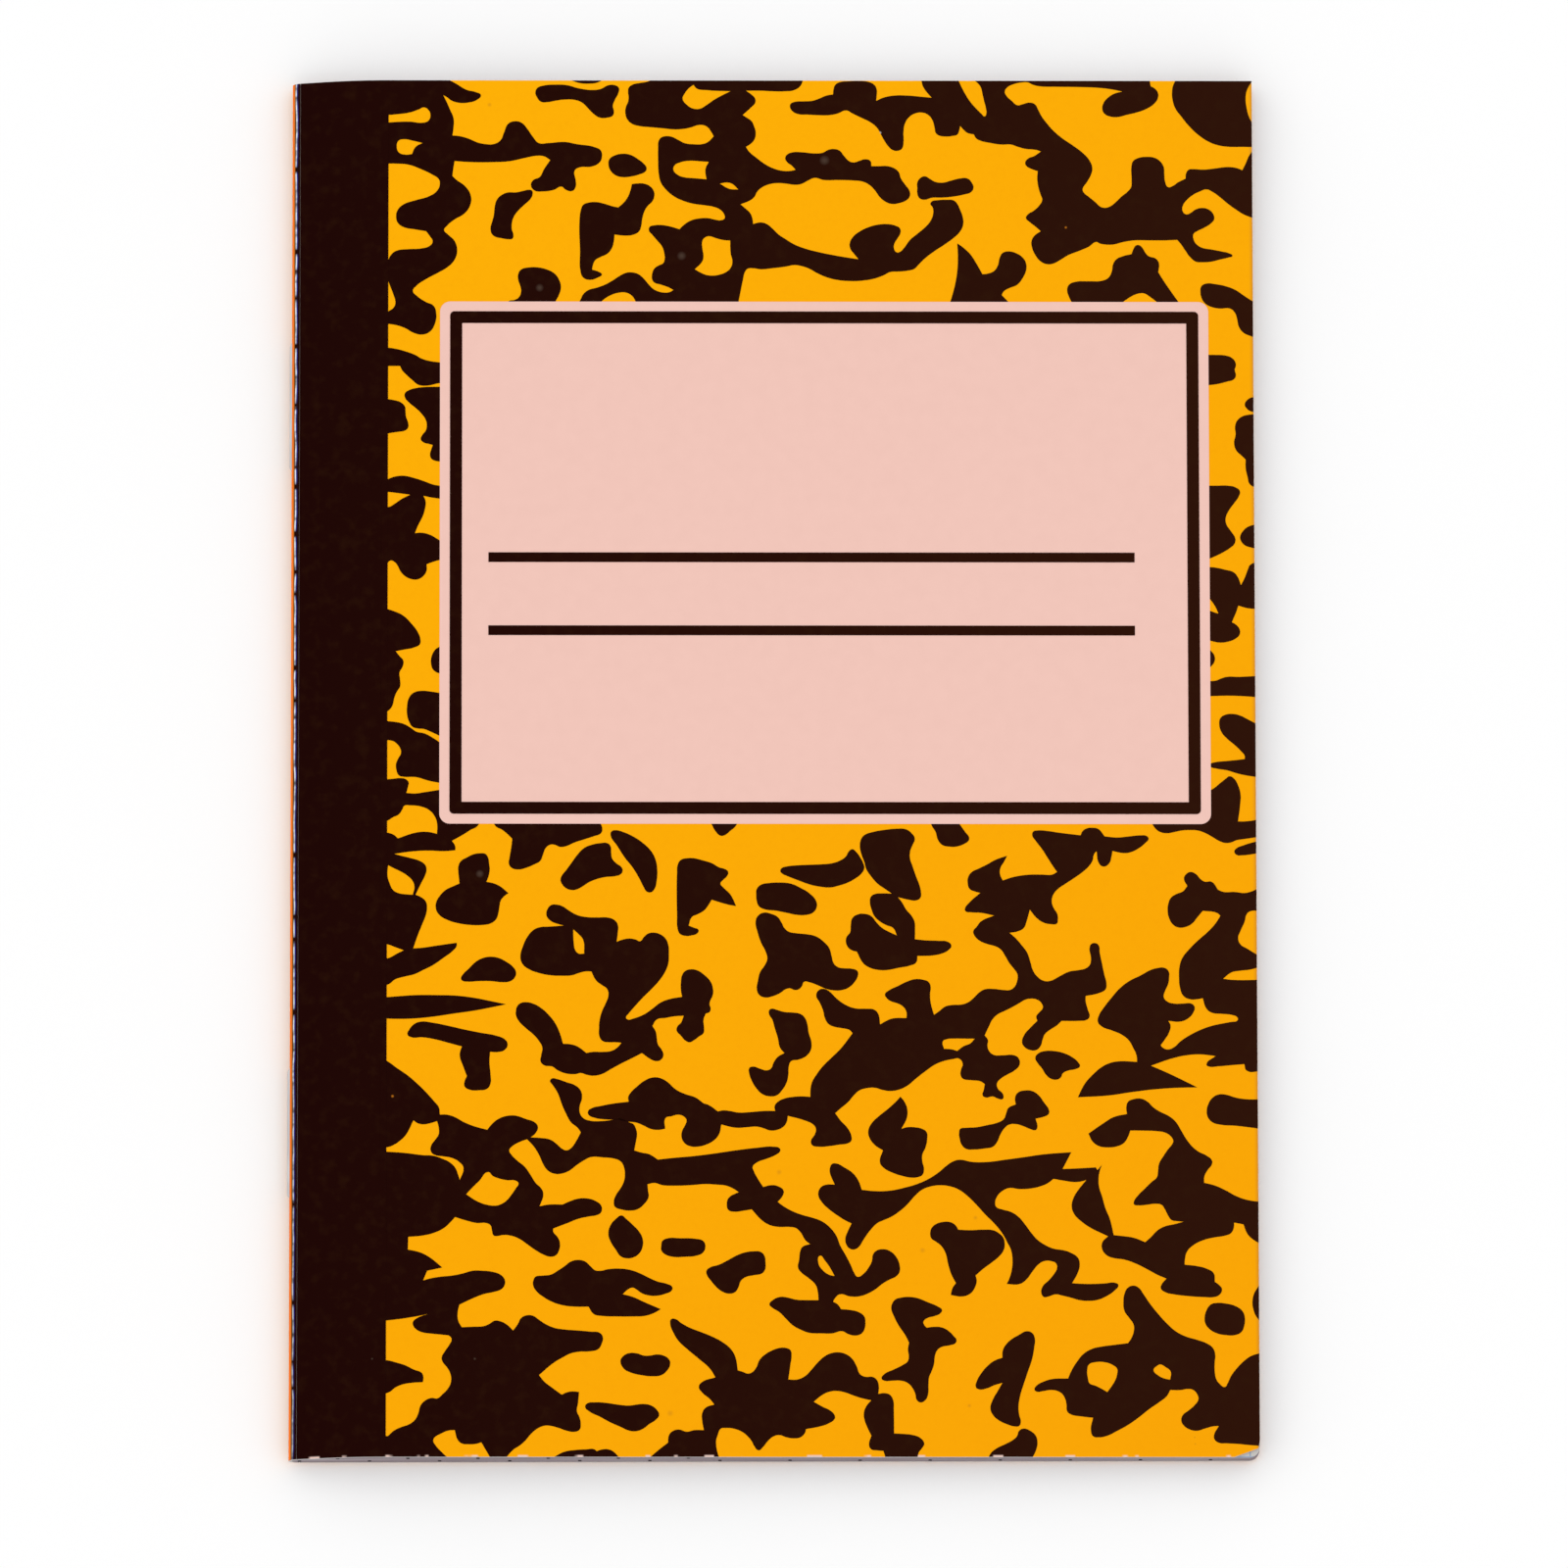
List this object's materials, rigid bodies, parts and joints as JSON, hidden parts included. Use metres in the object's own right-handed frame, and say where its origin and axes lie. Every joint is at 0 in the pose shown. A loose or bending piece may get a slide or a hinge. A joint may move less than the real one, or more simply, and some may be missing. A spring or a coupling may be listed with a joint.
{
  "type": "composition notebook",
  "caption": "Pocket notebook of folded sheets stapled into a printed card cover, whose front and back fold open at the spine.",
  "frame": {"origin": "under the middle of the closed book, on the surface that it lies on", "axes": "+X from the spine to the fore-edge, +Y from the tail to the head, +Z from the back cover up to the front cover"},
  "size_m": [0.0882, 0.128, 0.0032],
  "materials": {
    "cover_card": "satin",
    "pages": "matte",
    "staple_wire": "satin",
    "black_ink": "satin",
    "label_ink": "satin"
  },
  "bodies": {
    "block": {"page_block": "pages", "cover_spine": "cover_card", "staples": "staple_wire"},
    "front": {"front_cover": "cover_card", "spine_band": "black_ink", "label_panel": "label_ink", "label_frame": "black_ink", "label_lines": "black_ink"},
    "back": {"back_cover": "cover_card"}
  },
  "joints": [
    {"name": "front_cover_hinge", "type": "hinge", "parent": "block", "child": "front", "pos_m": [-0.04319, 0, 0.00193], "axis": [0, -1, 0], "range_deg": [0, 180]},
    {"name": "back_cover_hinge", "type": "hinge", "parent": "block", "child": "back", "pos_m": [-0.04295, 0, -0.00006], "axis": [0, 1, 0], "range_deg": [0, 180]}
  ]
}
